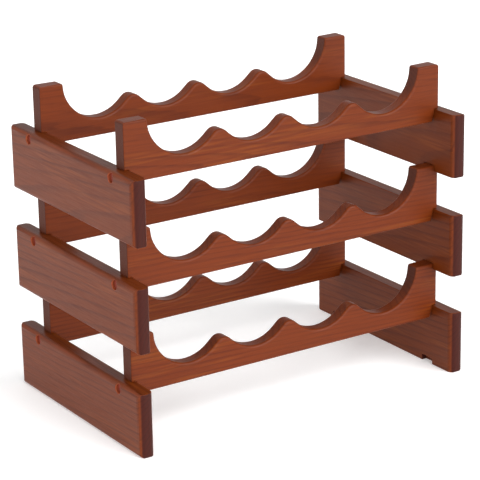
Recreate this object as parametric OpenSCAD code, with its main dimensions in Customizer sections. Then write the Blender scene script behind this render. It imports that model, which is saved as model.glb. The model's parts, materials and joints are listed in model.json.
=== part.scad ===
// Stackable wooden wine rack: three identical tiers of four bottle places each.
// X runs across the bottle places, Y from the front rails to the back rails, Z up.
// The origin is at floor level, in the middle of the footprint. All sizes are in millimetres.

/* [Overall] */
// Width over the outer faces of the side boards
rack_w = 457; // [440:1:520]
// Depth of the rack, which is the length of a side board
rack_d = 283; // [250:1:320]
// Height from one tier's floor level to the next tier's
tier_pitch = 123.5; // [120:0.1:128]

/* [Side boards] */
// Thickness of a side board
board_t = 19; // [18:0.5:24]
// Height of a side board
board_h = 77; // [75:0.5:80]
// Radius of the rounded vertical edges at the ends of a side board
board_end_r = 8.5; // [3:0.5:8.5]
// Radius of the rounded long edges on a side board's outer face
board_edge_r = 6; // [1:0.5:6.5]
// Radius of the eased long edges on its inner face
board_inner_r = 1; // [0.5:0.5:3]
// Radius of a side board's four corners, seen from the side
board_corner_r = 2.5; // [1:0.5:6]

/* [Rails] */
// Thickness of a rail, front to back
rail_t = 18; // [16:0.5:22]
// Height of a rail at the ears on its ends
rail_h = 69; // [66:0.5:74]
// Height of a rail's lower edge above its tier's floor level
rail_z = 62; // [58:0.5:63]
// Distance between the middles of the front and back rails
rail_spacing = 187.5; // [160:0.1:200]
// How far each ear reaches out over the top of its side board
ear_overhang = 6; // [4:0.5:9]
// Radius of the ear's outer top corner
ear_outer_r = 3.5; // [1:0.5:6]
// Radius of the ear's inner top corner
ear_inner_r = 3; // [1:0.5:3]
// How far the rail's lower end corner leans in from the side board
end_taper_x = 3; // [1:0.5:4]
// Height of that lean
end_taper_h = 10; // [6:0.5:11]

/* [Bottle places] */
// Distance between neighbouring bottle places
bottle_pitch = 91; // [88:0.5:92]
// Radius of the curve a bottle lies in
scallop_r = 48; // [46:0.5:49]
// Height of the curve's lowest point above the rail's lower edge
scallop_z = 21.5; // [18:0.5:24]
// Radius of the rounded crest between two bottles
crest_r = 12; // [8:0.5:12]
// Slope of the flanks that lead from the curves up to a crest, in degrees
flank_angle = 40.7; // [36:0.1:44]

/* [Joints] */
// Diameter of the dowels
dowel_d = 11; // [8:0.5:11]
// How deep each dowel goes into its rail
dowel_depth = 30; // [20:1:40]
// How far the dowel's outer end lies below the board's outer face
dowel_recess = 2.5; // [0.5:0.5:3]
// Clearance of a dowel in its hole, on the radius
dowel_clearance = 0.05; // [0.02:0.01:0.1]
// Empty length of a dowel hole beyond the dowel's inner end
hole_relief = 2; // [1:0.5:4]
// Chamfer on both ends of a dowel
dowel_chamfer = 0.8; // [0.4:0.1:1.2]
// Gap between an ear's top and the roof of the notch that sits over it
stack_gap = 0.2; // [0.1:0.1:0.5]
// Gap on each side of an ear in its notch
notch_play = 0.6; // [0.4:0.1:1]

/* [Hidden] */
$fn = 96;
tier_names = ["bottom", "middle", "top"];
tiers = [0:2];
places = 4;
part_names = ["front_rail", "back_rail", "left_board", "right_board",
    "front_left_dowel", "front_right_dowel", "back_left_dowel", "back_right_dowel"];
NODES = [for (tier = tiers) for (part = part_names) str(tier_names[tier], "_", part)];
node = "all";

// Direction signs: left and front are negative, right and back are positive.
left = -1;
right = 1;
front = -1;
back = 1;

// Half the clear width between the side boards, and where the ears end.
inner_x = rack_w / 2 - board_t;
ear_x = inner_x + ear_overhang;
// Height on the rail where its ears step out over the side boards.
shoulder_z = board_h - rail_z;
// The dowels are centred in the part of the rail end that meets the board.
dowel_z = rail_z + shoulder_z / 2;
// The notch under each board that takes the ear of the tier below.
notch_h = rail_z + rail_h + stack_gap - tier_pitch;
notch_x = ear_overhang + notch_play;
notch_y = rail_t + 2 * notch_play;

// A flank is a straight line that touches a bottle curve and the crest beside it. From its
// slope follows how far the middle of a crest's circle lies below that of the bottle curves.
half_pitch = bottle_pitch / 2;
radii = scallop_r + crest_r;
crest_drop = (radii - half_pitch * sin(flank_angle)) / cos(flank_angle);
// Where the ears' inner edges start, just under their rounded top corners, and the angle
// below the middle of the outer bottle curve at which they do.
rise_angle = asin((scallop_z + scallop_r - rail_h + ear_inner_r) / scallop_r);
ear_inner_x = (places - 1) * half_pitch + scallop_r * cos(rise_angle);
// Angle between neighbouring points of an arc in an outline.
arc_step = 3;

// Colours of the stained wood.
rail_colour = [0.55, 0.26, 0.15];
board_colour = [0.5, 0.3, 0.26];
dowel_colour = [0.4, 0.12, 0.09];

// Rectangle centred on the origin with round corners, made of true arcs.
module round_rectangle(width, height, radius) {
    square([width - 2 * radius, height], center = true);
    square([width, height - 2 * radius], center = true);
    for (x = [-1, 1], y = [-1, 1]) {
        translate([x * (width / 2 - radius), y * (height / 2 - radius)])
            circle(radius);
    }
}

// Points along an arc, from one angle to another, with a point about every three degrees.
function arc(centre, radius, from, to) =
    let (steps = ceil(abs(to - from) / arc_step))
    [for (i = [0:steps])
        centre + radius * [cos(from + (to - from) * i / steps), sin(from + (to - from) * i / steps)]];

// Middle of the circle that one bottle lies in.
function place_centre(place) = [(place - (places - 1) / 2) * bottle_pitch, scallop_z + scallop_r];

// The left end of a rail: leaning lower corner, shoulder, and the ear's two top corners.
function rail_end() = concat(
    [
        [end_taper_x - inner_x, 0],
        [-inner_x, end_taper_h],
        [-inner_x, shoulder_z],
        [-ear_x, shoulder_z]
    ],
    arc([ear_outer_r - ear_x, rail_h - ear_outer_r], ear_outer_r, 180, 90),
    arc([-ear_inner_x - ear_inner_r, rail_h - ear_inner_r], ear_inner_r, 90, rise_angle)
);

// The curves of the bottle places, with a crest after each one but the last.
function rail_top() = [
    for (place = [0 : places - 1])
        each concat(
            arc(place_centre(place), scallop_r,
                place == 0 ? 180 + rise_angle : 270 - flank_angle,
                place == places - 1 ? 360 - rise_angle : 270 + flank_angle),
            place == places - 1 ? [] :
                arc(place_centre(place) + [half_pitch, -crest_drop], crest_r,
                    90 + flank_angle, 90 - flank_angle))
];

// The rail seen from the front, standing on its lower edge.
module rail_outline() {
    end = rail_end();
    polygon(concat(
        end,
        rail_top(),
        [for (i = [len(end) - 1 : -1 : 0]) [-end[i][0], end[i][1]]]
    ));
}

// Hole for one dowel in a rail end, with its axis along x.
module rail_hole(side) {
    depth = dowel_depth + hole_relief;
    translate([side * (inner_x - depth / 2), 0, shoulder_z / 2])
        rotate([0, 90, 0])
            cylinder(r = dowel_d / 2 + dowel_clearance, h = depth + 1, center = true);
}

// A rail carries the bottles: one at the front and one at the back of each tier.
module rail(tier, row) {
    color(rail_colour)
        translate([0, row * rail_spacing / 2, tier * tier_pitch + rail_z])
            difference() {
                rotate([90, 0, 0])
                    linear_extrude(height = rail_t, center = true)
                        rail_outline();
                for (side = [left, right]) {
                    rail_hole(side);
                }
            }
}

// A side board's section across its length: well rounded outside, nearly square inside.
module board_section(side) {
    round_rectangle(board_t, board_h, board_edge_r);
    translate([-side * board_t / 4, 0])
        round_rectangle(board_t / 2, board_h, board_inner_r);
}

// A side board joins the two rails of a tier and stands on the ears of the tier below.
module side_board(tier, side) {
    color(board_colour)
        translate([side * (rack_w - board_t) / 2, 0, tier * tier_pitch])
            difference() {
                intersection() {
                    linear_extrude(height = board_h)
                        round_rectangle(board_t, rack_d, board_end_r);
                    rotate([90, 0, 0])
                        linear_extrude(height = rack_d, center = true)
                            translate([0, board_h / 2])
                                board_section(side);
                    rotate([90, 0, 90])
                        linear_extrude(height = board_t, center = true)
                            translate([0, board_h / 2])
                                round_rectangle(rack_d, board_h, board_corner_r);
                }
                for (row = [front, back]) {
                    translate([0, row * rail_spacing / 2, dowel_z])
                        rotate([0, 90, 0])
                            cylinder(r = dowel_d / 2 + dowel_clearance, h = board_t + 2, center = true);
                    translate([-side * board_t / 2, row * rail_spacing / 2, 0])
                        cube([2 * notch_x, notch_y, 2 * notch_h], center = true);
                }
            }
}

// A dowel runs through a side board into a rail's end. Its outer end lies a little deep.
module dowel(tier, row, side) {
    length = board_t - dowel_recess + dowel_depth;
    shank = length - 2 * dowel_chamfer;
    color(dowel_colour)
        translate([side * (rack_w / 2 - dowel_recess - length / 2), row * rail_spacing / 2,
                tier * tier_pitch + dowel_z])
            rotate([0, 90, 0]) {
                cylinder(d = dowel_d, h = shank, center = true);
                for (end = [-1, 1]) {
                    mirror([0, 0, end < 0 ? 1 : 0])
                        translate([0, 0, shank / 2])
                            cylinder(d1 = dowel_d, d2 = dowel_d - 2 * dowel_chamfer, h = dowel_chamfer);
                }
            }
}

// Whether a part of a tier is to be drawn.
function wanted(tier, part) = node == "all" || node == str(tier_names[tier], "_", part);

for (tier = tiers) {
    if (wanted(tier, "front_rail")) rail(tier, front);
    if (wanted(tier, "back_rail")) rail(tier, back);
    if (wanted(tier, "left_board")) side_board(tier, left);
    if (wanted(tier, "right_board")) side_board(tier, right);
    if (wanted(tier, "front_left_dowel")) dowel(tier, front, left);
    if (wanted(tier, "front_right_dowel")) dowel(tier, front, right);
    if (wanted(tier, "back_left_dowel")) dowel(tier, back, left);
    if (wanted(tier, "back_right_dowel")) dowel(tier, back, right);
}
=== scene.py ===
import json
import math
import bmesh
import bpy
from mathutils import Matrix, Vector
from mathutils.kdtree import KDTree

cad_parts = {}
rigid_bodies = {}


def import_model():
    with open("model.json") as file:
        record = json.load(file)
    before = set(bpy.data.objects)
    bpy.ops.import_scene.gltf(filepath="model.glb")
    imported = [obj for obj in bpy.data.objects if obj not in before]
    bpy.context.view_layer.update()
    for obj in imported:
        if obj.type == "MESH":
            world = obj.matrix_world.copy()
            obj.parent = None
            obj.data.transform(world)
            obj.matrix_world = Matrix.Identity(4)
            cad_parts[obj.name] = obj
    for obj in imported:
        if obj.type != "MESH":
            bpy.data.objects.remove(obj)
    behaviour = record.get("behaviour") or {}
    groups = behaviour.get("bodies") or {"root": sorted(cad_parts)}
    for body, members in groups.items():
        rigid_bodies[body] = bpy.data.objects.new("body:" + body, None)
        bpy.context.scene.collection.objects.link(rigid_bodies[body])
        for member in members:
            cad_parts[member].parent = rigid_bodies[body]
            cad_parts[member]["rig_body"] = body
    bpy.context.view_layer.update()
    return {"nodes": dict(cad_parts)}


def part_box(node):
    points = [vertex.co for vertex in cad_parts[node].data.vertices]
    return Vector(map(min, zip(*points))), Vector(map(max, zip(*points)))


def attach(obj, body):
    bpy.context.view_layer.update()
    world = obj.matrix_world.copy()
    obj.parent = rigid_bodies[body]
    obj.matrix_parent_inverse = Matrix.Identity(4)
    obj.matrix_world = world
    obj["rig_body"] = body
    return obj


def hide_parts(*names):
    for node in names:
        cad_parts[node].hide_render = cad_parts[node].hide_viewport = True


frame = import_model()

# Lengths are in metres, angles in degrees and colours linear.
MM = 0.001
TIERS = ("bottom", "middle", "top")
ROWS = ("front", "back")
SIDES = ("left", "right")
ALONG_X = Vector((1, 0, 0))
ALONG_Y = Vector((0, 1, 0))
EVERY_WAY = Vector((1, 1, 1))

# Camera
VIEW_AZIMUTH = -33.03
VIEW_ELEVATION = 18.59
VIEW_ROLL = -1.01
VIEW_DISTANCE = 2.628
AIM = Vector((-0.0032, -0.0035, 0.1763))
# Focal length and sensor width in millimetres, as Blender takes them.
FOCAL_LENGTH = 165.7
SENSOR_WIDTH = 36
NEAREST = 0.05

# Light: the suns' azimuth, elevation, strength and spread. Azimuth 0 comes from the front and
# 90 from the right.
SUNS = {"key": (20, 27, 4.5, 60), "left": (-105, 10, 1.85, 50), "fill": (-48, 20, 1.3, 60)}
# Strength of the surroundings, and of the white sweep behind the object.
AMBIENT = 0.17
SWEEP = 0.83
SWEEP_DIRECTION = Vector((-0.25, 0.95, -0.1))
SWEEP_EDGES = (-0.15, 0.55)

# Floor
FLOOR_REACH = 9.0
FLOOR_COLOUR = (0.94, 0.94, 0.94, 1)
FLOOR_ROUGHNESS = 0.9
FLOOR_IOR = 1.2
# A little glow keeps the shadows as pale as in the photo.
FLOOR_GLOW = 0.22
WHITE = (1, 1, 1, 1)

# Easing of each kind of piece: width of the rounding and its number of steps.
EASING = {"rail": (1.3 * MM, 6), "board": (0.8 * MM, 3), "dowel": (0.25 * MM, 2)}
# Points of the CAD mesh closer than this are one point.
SAME_POINT = 1e-6
# Faces that meet at less than the first angle are one flat face, and at more than the second
# they meet in a sharp edge.
FLAT_ANGLE = 0.3
SHARP_ANGLE = 35
# Parts of a rail's end that keep the plain easing: its lower edge and its ears' outer ends.
END_HEIGHT = 16 * MM
EAR_WIDTH = 12 * MM
# The ears' inner ends are sanded rounder, and the bottles' curves rounder still. The curves'
# rounding starts at this depth below the ears' tops and is whole at the second.
EAR_EASING = 2.5 * MM
CURVE_EASING = 3.3 * MM
CURVE_DEPTHS = (5 * MM, 16 * MM)
# Points up to this many easing widths from an old sharp corner belong to its rounding.
CORNER_REACH = 1.05

# Stained wood of the rails and the boards. light, dark, glow and end_grain are its colours, and
# along is the grain's direction. early is the pale part of a growth ring, contrast is how dark
# the rest is, and sway is how far the rings wander. ends says how squarely a surface faces along
# the grain where end grain starts to show, and where nothing else shows. Its last pair is the
# least and most of the painted highlight on an edge.
RAIL_LOOK = {
    "light": (0.122, 0.0200, 0.0020), "dark": (0.052, 0.0067, 0.0010),
    "glow": (0.142, 0.0292, 0.0030), "end_grain": (0.058, 0.0095, 0.0014),
    "along": ALONG_X, "early": 0.50, "contrast": 0.40, "sway": 0.014,
    "ends": (0.55, 0.95), "edge_highlight": (0.0, 0.24), "ior": 1.25}
BOARD_LOOK = {
    "light": (0.115, 0.0198, 0.0012), "dark": (0.060, 0.0088, 0.0006),
    "glow": (0.138, 0.0270, 0.0020), "end_grain": (0.038, 0.0038, 0.0008),
    "along": ALONG_Y, "early": 0.54, "contrast": 0.55, "sway": 0.0035,
    "ends": (0.58, 0.80), "edge_highlight": (0.10, 0.60), "ior": 1.27}
# Painted highlight: the lighter, more orange colour put on the eased edges.
EDGE_HIGHLIGHT_COLOUR = (0.160, 0.0250, 0.0020)
# Painted light: the paler colour of the dowel holes' walls, which brightens the recesses' shade.
HOLE_PAINTED_LIGHT = (0.300, 0.0650, 0.0250)
# Distances from a dowel hole's axis at which the painted light on its wall begins and is whole.
HOLE_LIGHT_EDGES = (6.1 * MM, 5.7 * MM)

# Growth rings: their width, their slope along the grain, and the parts of a ring at which the
# late wood is darkest and starts to end.
RING_WIDTH = 5.0 * MM
RING_SLOPE = 0.045
LATE_DARKEST = 0.90
LATE_ENDING = 0.92
# Size of the rings' quick wobble, next to their slow sway.
WOBBLE = 0.17
# Part of the length along the grain that fibres and slow noise don't see, which stretches them.
FIBRE_STRETCH = 0.965
SLOW_STRETCH = 0.86
# Step between two pieces' places in the noise, which gives each its own figure.
SEED_STEP = Vector((0.37, 0.71, 0.53))
# The log's middle, seen from the middle of a piece with seed 0, and its step from seed to seed.
RAIL_HEART = Vector((0, 0.020, -0.110))
RAIL_HEART_STEP = Vector((0, 0.006, 0.013))
BOARD_HEART = Vector((0.050, 0, -0.220))
BOARD_HEART_STEP = Vector((0.004, 0, 0.012))

# Noises: patches in a metre, levels of finer detail, and how strong the finer ones are.
NOISES = {
    "bend": (22.0, 2.0, 0.5), "wobble": (160.0, 2.0, 0.5), "strength": (30.0, 1.0, 0.5),
    "fibres": (900.0, 3.0, 0.65), "streaks": (330.0, 2.0, 0.5), "pores": (2300.0, 1.0, 0.5),
    # The last noise on the next line sets the unevenness of the painted edge highlight.
    "blotch": (26.0, 3.0, 0.55), "shine": (48.0, 2.0, 0.5), "edge_highlight": (120.0, 2.0, 0.5),
    "dowel_specks": (1400.0, 2.0, 0.5), "dowel_bands": (700.0, 2.0, 0.5)}
# Fades: two values of the noise, then what it gives at them, which is 0 and 1 if not stated.
RING_STRENGTH = (0.30, 0.68, 0.50, 1.0)
FIBRE_DARKNESS = (0.36, 0.66, -0.02, 0.18)
STREAK_DARKNESS = (0.36, 0.66, -0.04, 0.10)
BLOTCH_DARKNESS = (0.34, 0.66, -0.05, 0.09)
PORE_EDGES = (0.60, 0.74)
SHINE_EDGES = (0.48, 0.66)
SHINE_STREAKS = (0.56, 0.42)
# Painted edge highlight: the values of its noise where it starts and where it is whole.
EDGE_HIGHLIGHT_NOISE = (0.30, 0.70)
LACQUER_ROUGHNESS = (0.30, 0.70, 0.36, 0.46)
# How far a surface faces in one main direction where the painted edge highlight starts, and where it is
# whole.
EDGE_HIGHLIGHT_FACING = (0.94, 0.78)
PORE_DARKNESS = 0.14
# End grain: how much its rings show, how dark they are and how much rougher it is.
END_RINGS = 0.5
END_RING_SHADE = 0.55
END_ROUGHNESS = 0.12
# Relief of the lacquer: how much each thing raises or lowers it.
FIBRE_HEIGHT = 0.6
PORE_DEPTH = 0.9
RING_DEPTH = 0.4
WOOD_BUMP = (0.35, 0.12 * MM)

# Dowels' end grain
DOWEL_COLOUR = (0.150, 0.0150, 0.0040)
DOWEL_SHADE = 0.4
DOWEL_SPECKS = (0.45, 0.7, 0, 0.5)
DOWEL_BANDS = (0.4, 0.7, 0, 0.4)
DOWEL_SQUEEZE = Vector((1, 1, 0.25))
DOWEL_ROUGHNESS = 0.5
DOWEL_IOR = 1.25
DOWEL_BUMP = (0.4, 0.15 * MM)


def round_curves(bm, corners, width, box):
    """Widens the easing along the bottles' curves and the ears' inner ends."""
    (low_x, _, low_z), (high_x, _, high_z) = box
    tree = KDTree(len(corners))
    for index, corner in enumerate(corners):
        tree.insert(corner, index)
    tree.balance()
    for v in bm.verts:
        corner, _, distance = tree.find(v.co)
        if distance > CORNER_REACH * width or corner.z < low_z + END_HEIGHT:
            continue
        if corner.x < low_x + EAR_WIDTH or corner.x > high_x - EAR_WIDTH:
            continue
        t = (high_z - corner.z - CURVE_DEPTHS[0]) / (CURVE_DEPTHS[1] - CURVE_DEPTHS[0])
        t = min(max(t, 0), 1)
        t = t * t * (3 - 2 * t)
        v.co = corner + (v.co - corner) * (EAR_EASING + t * (CURVE_EASING - EAR_EASING)) / width


def eased_copy(node, kind):
    """A copy of a CAD node's mesh with its flat faces whole and its sharp edges eased."""
    width, segments = EASING[kind]
    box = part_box(node)
    mesh = bpy.data.meshes.new(node + "_looks")
    bm = bmesh.new()
    bm.from_mesh(frame["nodes"][node].data)
    bmesh.ops.remove_doubles(bm, verts=bm.verts, dist=SAME_POINT)
    bmesh.ops.dissolve_limit(bm, angle_limit=math.radians(FLAT_ANGLE), verts=bm.verts, edges=bm.edges)
    sharp = [e for e in bm.edges if e.is_manifold and e.calc_face_angle(0) > math.radians(SHARP_ANGLE)]
    corners = {v for e in sharp for v in e.verts}
    curves = [v.co.copy() for v in corners] if kind == "rail" else []
    # The limit on overlap shrinks all of a piece's easing to what its tightest spot has room for.
    # On some boards, whose rounded corners have very short edges, that left almost none.
    bmesh.ops.bevel(bm, geom=sharp, offset=width, segments=segments, profile=0.5,
                    affect="EDGES", clamp_overlap=kind != "board")
    if curves:
        round_curves(bm, curves, width, box)
    # The easing of small curved corners can reach a few micrometres out of the node's box.
    for v in bm.verts:
        v.co = [min(max(c, low), high) for c, low, high in zip(v.co, *box)]
    bm.to_mesh(mesh)
    bm.free()
    for polygon in mesh.polygons:
        polygon.use_smooth = True
    piece = bpy.data.objects.new(node + "_wood", mesh)
    bpy.context.scene.collection.objects.link(piece)
    normals = piece.modifiers.new("normals", "WEIGHTED_NORMAL")
    normals.keep_sharp = True
    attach(piece, frame["nodes"][node]["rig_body"])
    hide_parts(node)
    return piece


class Tree:
    """Short calls for building a node tree."""

    def __init__(self, tree):
        self.tree = tree

    def add(self, kind, **settings):
        node = self.tree.nodes.new(kind)
        for name, value in settings.items():
            setattr(node, name, value)
        return node

    def put(self, socket, value):
        if isinstance(value, bpy.types.NodeSocket):
            self.tree.links.new(value, socket)
        elif value is not None:
            socket.default_value = value

    def math(self, operation, a, b=None, clamp=False):
        node = self.add("ShaderNodeMath", operation=operation, use_clamp=clamp)
        for socket, value in zip(node.inputs, (a, b)):
            self.put(socket, value)
        return node.outputs[0]

    def vector(self, operation, a, b=None):
        node = self.add("ShaderNodeVectorMath", operation=operation)
        self.put(node.inputs[0], a)
        self.put(node.inputs[1], b)
        return node.outputs["Value" if operation in ("DOT_PRODUCT", "LENGTH") else "Vector"]

    def noise(self, name, where):
        """One of the noises in NOISES. It swings around 0.5."""
        node = self.add("ShaderNodeTexNoise")
        self.put(node.inputs["Vector"], where)
        for socket, value in zip(("Scale", "Detail", "Roughness"), NOISES[name]):
            self.put(node.inputs[socket], value)
        return node.outputs["Fac"]

    def swing(self, name, where, size):
        """The same around zero, with the given size."""
        return self.math("MULTIPLY", self.math("SUBTRACT", self.noise(name, where), 0.5), size)

    def fade(self, value, low, high, to_low=0.0, to_high=1.0):
        """Goes smoothly from to_low to to_high while value goes from low to high."""
        node = self.add("ShaderNodeMapRange", interpolation_type="SMOOTHSTEP")
        for socket, v in zip(node.inputs, (value, low, high, to_low, to_high)):
            self.put(socket, v)
        return node.outputs[0]

    def mix(self, factor, a, b):
        node = self.add("ShaderNodeMix", data_type="RGBA", blend_type="MIX")
        colours = [s for s in node.inputs if s.type == "RGBA"]
        self.put(node.inputs[0], factor)
        for socket, value in zip(colours, (a, b)):
            self.put(socket, value if isinstance(value, bpy.types.NodeSocket) else (*value, 1))
        return [s for s in node.outputs if s.type == "RGBA"][0]

    def bump(self, height, strength, distance):
        node = self.add("ShaderNodeBump")
        self.put(node.inputs["Strength"], strength)
        self.put(node.inputs["Distance"], distance)
        self.put(node.inputs["Height"], height)
        return node.outputs["Normal"]


def new_material(name):
    material = bpy.data.materials.new(name)
    material.use_nodes = True
    return material, Tree(material.node_tree), material.node_tree.nodes["Principled BSDF"]


def shade(colour, factor):
    return tuple(c * factor for c in colour)


def late_wood(t, place, slow_place, along, heart, early, sway):
    """The dark lines of the growth rings around the log's middle, bent by slow noise."""
    from_heart = t.vector("SUBTRACT", place, heart)
    radius = t.vector("LENGTH", t.vector("MULTIPLY", from_heart, EVERY_WAY - along))
    drift = t.vector("DOT_PRODUCT", place, along * RING_SLOPE)
    bend = t.swing("bend", slow_place, sway)
    wobble = t.swing("wobble", slow_place, WOBBLE * sway)
    age = t.math("ADD", t.math("ADD", radius, drift), t.math("ADD", bend, wobble))
    phase = t.math("FRACT", t.math("DIVIDE", age, RING_WIDTH))
    late = t.math("MULTIPLY", t.fade(phase, early, LATE_DARKEST), t.fade(phase, 1.0, LATE_ENDING))
    strength = t.fade(t.noise("strength", slow_place), *RING_STRENGTH)
    return t.math("MULTIPLY", late, strength)


def painted_edge_highlight(t, normal, slow_place, along, edge_highlight):
    """Painted highlight: a lighter colour on the eased edges, which face in no main direction.

    A rail's outline turns in every direction around Y, so only the edges of its front and back
    faces count there.
    """
    split = t.add("ShaderNodeSeparateXYZ")
    t.put(split.inputs[0], t.vector("ABSOLUTE", normal))
    x, y, z = split.outputs
    if along == ALONG_X:
        facing = t.math("MAXIMUM", y, t.math("SUBTRACT", 1.0, y))
    else:
        facing = t.math("MAXIMUM", x, t.math("MAXIMUM", y, z))
    return t.math("MULTIPLY", t.fade(facing, *EDGE_HIGHLIGHT_FACING),
                  t.fade(t.noise("edge_highlight", slow_place), *EDGE_HIGHLIGHT_NOISE, *edge_highlight))


def wood(name, heart, seed, light, dark, glow, end_grain, along, early, contrast, sway, ends, edge_highlight, ior,
         holes=()):
    """Stained, lacquered solid wood.

    heart is a point on the middle of the log, and seed sets the place in the noise. holes are
    points on the axes of the dowel holes, whose walls get a paler colour: painted light that
    brightens the shade in the recesses. The rest is explained at RAIL_LOOK.
    """
    material, t, shader = new_material(name)
    coords = t.add("ShaderNodeTexCoord")
    place, normal = coords.outputs["Object"], coords.outputs["Normal"]
    seed_place = t.vector("ADD", place, SEED_STEP * seed)
    fibre_place = t.vector("MULTIPLY", seed_place, EVERY_WAY - along * FIBRE_STRETCH)
    slow_place = t.vector("MULTIPLY", seed_place, EVERY_WAY - along * SLOW_STRETCH)

    # Rings, fibres, streaks, pores and the stain's slow unevenness.
    late = late_wood(t, place, slow_place, along, heart, early, sway)
    fibres = t.noise("fibres", fibre_place)
    streaks = t.noise("streaks", fibre_place)
    pores = t.fade(t.noise("pores", fibre_place), *PORE_EDGES)
    blotch = t.noise("blotch", slow_place)
    darkness = t.math("MULTIPLY", late, contrast)
    darkness = t.math("ADD", darkness, t.fade(fibres, *FIBRE_DARKNESS))
    darkness = t.math("ADD", darkness, t.fade(streaks, *STREAK_DARKNESS))
    darkness = t.math("ADD", darkness, t.math("MULTIPLY", pores, PORE_DARKNESS))
    darkness = t.math("ADD", darkness, t.fade(blotch, *BLOTCH_DARKNESS), clamp=True)
    shine = t.math("MULTIPLY", t.fade(t.noise("shine", slow_place), *SHINE_EDGES),
                   t.fade(streaks, *SHINE_STREAKS))
    colour = t.mix(darkness, t.mix(shine, light, glow), dark)
    # Painted highlight: the eased edges are made lighter and more orange.
    colour = t.mix(painted_edge_highlight(t, normal, slow_place, along, edge_highlight), colour, EDGE_HIGHLIGHT_COLOUR)

    # End grain drinks more stain. It shows where the surface faces along the grain.
    end = t.fade(t.math("ABSOLUTE", t.vector("DOT_PRODUCT", normal, along)), *ends)
    end_colour = t.mix(t.math("MULTIPLY", late, END_RINGS), end_grain, shade(end_grain, END_RING_SHADE))
    colour = t.mix(end, colour, end_colour)

    # Painted light: the dowel holes' walls are made paler than the board, to brighten their shade.
    for hole in holes:
        from_axis = t.vector("MULTIPLY", t.vector("SUBTRACT", place, hole), EVERY_WAY - ALONG_X)
        colour = t.mix(t.fade(t.vector("LENGTH", from_axis), *HOLE_LIGHT_EDGES), colour, HOLE_PAINTED_LIGHT)

    # Lacquer: satin, a little uneven, duller on end grain.
    rough = t.math("ADD", t.fade(fibres, *LACQUER_ROUGHNESS), t.math("MULTIPLY", end, END_ROUGHNESS))
    sunk = t.math("ADD", t.math("MULTIPLY", pores, PORE_DEPTH), t.math("MULTIPLY", late, RING_DEPTH))
    height = t.math("SUBTRACT", t.math("MULTIPLY", fibres, FIBRE_HEIGHT), sunk)
    t.put(shader.inputs["Base Color"], colour)
    t.put(shader.inputs["Roughness"], rough)
    t.put(shader.inputs["Normal"], t.bump(height, *WOOD_BUMP))
    t.put(shader.inputs["IOR"], ior)
    return material


def dowel_wood(name, seed):
    """The dowels' stained end grain, with specks and faint bands."""
    material, t, shader = new_material(name)
    coords = t.add("ShaderNodeTexCoord")
    place = t.vector("ADD", coords.outputs["Object"], SEED_STEP * seed)
    specks = t.noise("dowel_specks", place)
    bands = t.noise("dowel_bands", t.vector("MULTIPLY", place, DOWEL_SQUEEZE))
    darkness = t.math("ADD", t.fade(specks, *DOWEL_SPECKS), t.fade(bands, *DOWEL_BANDS), clamp=True)
    t.put(shader.inputs["Base Color"],
          t.mix(darkness, DOWEL_COLOUR, shade(DOWEL_COLOUR, DOWEL_SHADE)))
    t.put(shader.inputs["Normal"], t.bump(specks, *DOWEL_BUMP))
    t.put(shader.inputs["Roughness"], DOWEL_ROUGHNESS)
    t.put(shader.inputs["IOR"], DOWEL_IOR)
    return material


def middle(node):
    low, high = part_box(node)
    return (low + high) / 2


def make_rail(node, seed):
    piece = eased_copy(node, "rail")
    heart = middle(node) + RAIL_HEART + RAIL_HEART_STEP * seed
    piece.data.materials.append(wood(f"rail_wood_{seed}", heart, seed, **RAIL_LOOK))


def make_board(node, seed, dowels):
    piece = eased_copy(node, "board")
    heart = middle(node) + BOARD_HEART + BOARD_HEART_STEP * seed
    holes = [middle(dowel) for dowel in dowels]
    piece.data.materials.append(wood(f"board_wood_{seed}", heart, seed, holes=holes, **BOARD_LOOK))


def make_dowel(node, seed):
    piece = eased_copy(node, "dowel")
    piece.data.materials.append(dowel_wood(f"dowel_wood_{seed}", seed))


def make_tier(index, tier):
    """The eight pieces of a tier. Seeds from 1 are rails, from 11 boards and from 21 dowels."""
    for row_index, row in enumerate(ROWS):
        make_rail(f"{tier}_{row}_rail", 1 + 2 * index + row_index)
    for side_index, side in enumerate(SIDES):
        dowels = [f"{tier}_{row}_{side}_dowel" for row in ROWS]
        make_board(f"{tier}_{side}_board", 11 + 2 * index + side_index, dowels)
        for row_index, dowel in enumerate(dowels):
            make_dowel(dowel, 21 + 4 * index + 2 * side_index + row_index)


def make_floor():
    mesh = bpy.data.meshes.new("floor")
    corners = [(x * FLOOR_REACH, y * FLOOR_REACH, 0) for x, y in ((-1, -1), (1, -1), (1, 1), (-1, 1))]
    mesh.from_pydata(corners, [], [(0, 1, 2, 3)])
    floor = bpy.data.objects.new("floor", mesh)
    bpy.context.scene.collection.objects.link(floor)
    material, _, shader = new_material("floor_paper")
    shader.inputs["Base Color"].default_value = FLOOR_COLOUR
    shader.inputs["Roughness"].default_value = FLOOR_ROUGHNESS
    shader.inputs["IOR"].default_value = FLOOR_IOR
    shader.inputs["Emission Color"].default_value = WHITE
    shader.inputs["Emission Strength"].default_value = FLOOR_GLOW
    mesh.materials.append(material)


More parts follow.
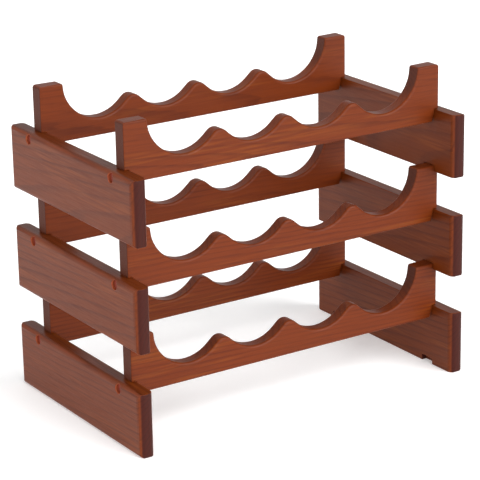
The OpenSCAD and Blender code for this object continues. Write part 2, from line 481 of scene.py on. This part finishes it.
def direction(azimuth, elevation):
    """From the origin towards a light or the camera."""
    a, e = math.radians(azimuth), math.radians(elevation)
    return Vector((math.sin(a) * math.cos(e), -math.cos(a) * math.cos(e), math.sin(e)))


def make_sun(name, azimuth, elevation, strength, spread):
    """A soft light from far away."""
    lamp = bpy.data.lights.new(name, "SUN")
    lamp.energy = strength
    lamp.angle = math.radians(spread)
    obj = bpy.data.objects.new(name, lamp)
    obj.rotation_euler = direction(azimuth, elevation).to_track_quat("Z", "Y").to_euler()
    bpy.context.scene.collection.objects.link(obj)


def make_world():
    """Dim all round, and a bright white sweep behind the object."""
    world = bpy.data.worlds.new("studio")
    world.use_nodes = True
    t = Tree(world.node_tree)
    background = world.node_tree.nodes["Background"]
    coords = t.add("ShaderNodeTexCoord")
    behind = t.vector("DOT_PRODUCT", coords.outputs["Generated"], SWEEP_DIRECTION)
    t.put(background.inputs["Strength"], t.fade(behind, *SWEEP_EDGES, AMBIENT, SWEEP))
    background.inputs["Color"].default_value = WHITE
    bpy.context.scene.world = world


def make_camera():
    back = direction(VIEW_AZIMUTH, VIEW_ELEVATION)
    azimuth, roll = math.radians(VIEW_AZIMUTH), math.radians(VIEW_ROLL)
    right = Vector((math.cos(azimuth), math.sin(azimuth), 0))
    up = back.cross(right)
    right, up = (right * math.cos(roll) + up * math.sin(roll),
                 up * math.cos(roll) - right * math.sin(roll))
    camera = bpy.data.cameras.new("camera")
    camera.lens = FOCAL_LENGTH
    camera.sensor_width = SENSOR_WIDTH
    camera.clip_start = NEAREST
    obj = bpy.data.objects.new("camera", camera)
    place = AIM + back * VIEW_DISTANCE
    obj.matrix_world = Matrix((
        (right.x, up.x, back.x, place.x),
        (right.y, up.y, back.y, place.y),
        (right.z, up.z, back.z, place.z),
        (0, 0, 0, 1)))
    bpy.context.scene.collection.objects.link(obj)
    bpy.context.scene.camera = obj


for index, tier in enumerate(TIERS):
    make_tier(index, tier)
make_floor()
make_world()
for name, settings in SUNS.items():
    make_sun(name, *settings)
make_camera()
bpy.context.scene.view_settings.view_transform = "Standard"
